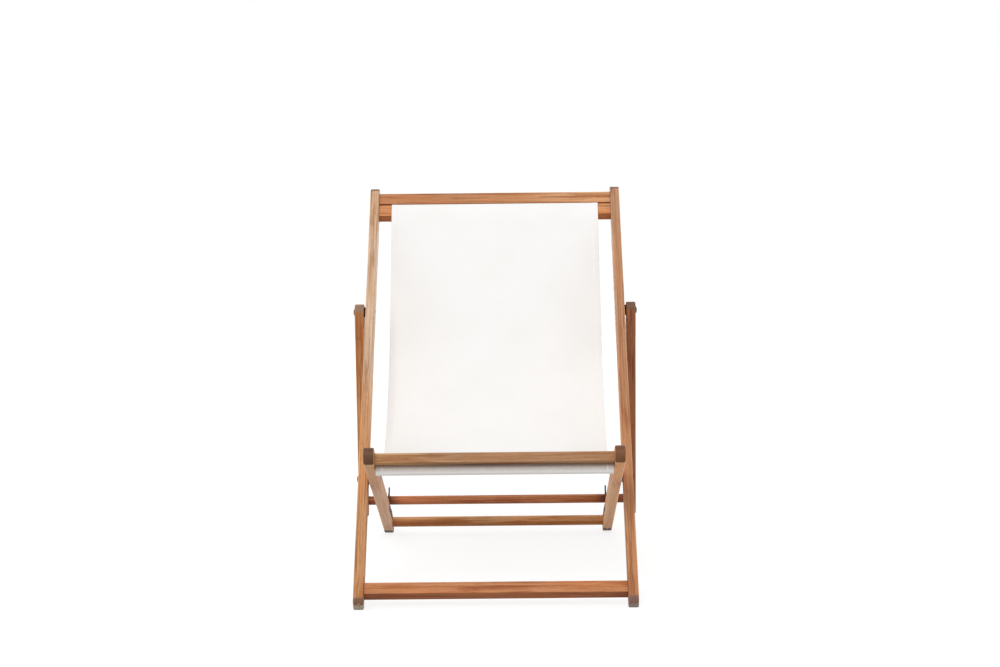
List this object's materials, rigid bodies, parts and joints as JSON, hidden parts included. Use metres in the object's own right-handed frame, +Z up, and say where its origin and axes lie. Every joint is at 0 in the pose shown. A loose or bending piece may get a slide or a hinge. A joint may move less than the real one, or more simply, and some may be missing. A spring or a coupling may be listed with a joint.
{
  "type": "folding sling deck chair",
  "caption": "Folding wooden deck chair with a hanging canvas sling, a seat frame pivoted on a leaning back frame, and a prop frame that rests in notched plates.",
  "frame": {"origin": "centre of the chair's footprint, on the surface that its four feet stand on", "axes": "+Z up, +X to the chair's right side as seen from its front, +Y from the front feet towards the rear feet; the sitter faces -Y"},
  "size_m": [0.6092, 0.7976, 0.7602],
  "materials": {
    "rail_wood": "oiled hardwood, satin, with fine long grain",
    "bar_wood": "oiled hardwood, satin",
    "dowel_wood": "turned and oiled hardwood",
    "canvas": "off-white plain-weave cotton canvas, matte",
    "bronzed_steel": "dark bronze, satin",
    "plain_steel": "zinc-plated steel"
  },
  "bodies": {
    "back_frame": {"outer_rail_left": "rail_wood", "outer_rail_right": "rail_wood", "top_slat_upper": "bar_wood", "top_slat_upper_screw_left": "plain_steel", "top_slat_upper_screw_right": "plain_steel", "top_slat_lower": "bar_wood", "top_slat_lower_screw_left": "plain_steel", "top_slat_lower_screw_right": "plain_steel", "foot_slat": "bar_wood", "foot_slat_screw_left": "plain_steel", "foot_slat_screw_right": "plain_steel", "seat_pivot_bolt_left": "bronzed_steel", "seat_pivot_bolt_right": "bronzed_steel", "seat_pivot_washer_left": "plain_steel", "seat_pivot_washer_right": "plain_steel", "seat_pivot_nut_left": "plain_steel", "seat_pivot_nut_right": "plain_steel", "prop_pivot_bolt_left": "bronzed_steel", "prop_pivot_bolt_right": "bronzed_steel", "prop_pivot_spacer_left": "bronzed_steel", "prop_pivot_spacer_right": "bronzed_steel", "prop_pivot_sleeve_nut_left": "plain_steel", "prop_pivot_sleeve_nut_right": "plain_steel", "sling": "canvas", "top_hem_dowel": "dowel_wood"},
    "seat_frame": {"seat_rail_left": "rail_wood", "seat_rail_right": "rail_wood", "seat_front_bar": "bar_wood", "seat_front_bar_screw_left": "plain_steel", "seat_front_bar_screw_right": "plain_steel", "seat_clamp_bar": "bar_wood", "seat_clamp_bar_screw_left": "plain_steel", "seat_clamp_bar_screw_right": "plain_steel", "seat_rear_dowel": "dowel_wood", "seat_rear_dowel_screw_left": "plain_steel", "seat_rear_dowel_screw_right": "plain_steel", "ratchet_plate_left": "bronzed_steel", "ratchet_plate_right": "bronzed_steel", "ratchet_screw_1_left": "plain_steel", "ratchet_screw_1_right": "plain_steel", "ratchet_screw_2_left": "plain_steel", "ratchet_screw_2_right": "plain_steel", "ratchet_screw_3_left": "plain_steel", "ratchet_screw_3_right": "plain_steel", "front_hem_dowel": "dowel_wood"},
    "prop_frame": {"prop_leg_left": "rail_wood", "prop_leg_right": "rail_wood", "prop_dowel": "dowel_wood", "prop_dowel_screw_left": "plain_steel", "prop_dowel_screw_right": "plain_steel"}
  },
  "joints": [
    {"name": "seat_fold", "type": "hinge", "parent": "back_frame", "child": "seat_frame", "pos_m": [0, -0.17344, 0.21442], "axis": [1, 0, 0], "range_deg": [0, 65.3], "deforming": ["sling"]},
    {"name": "prop_fold", "type": "hinge", "parent": "back_frame", "child": "prop_frame", "pos_m": [0, 0.14085, 0.51372], "axis": [1, 0, 0], "range_deg": [0, 130.7]}
  ],
  "couplings": [
    {"joint": "prop_fold", "follows": "seat_fold", "ratio": 2}
  ]
}
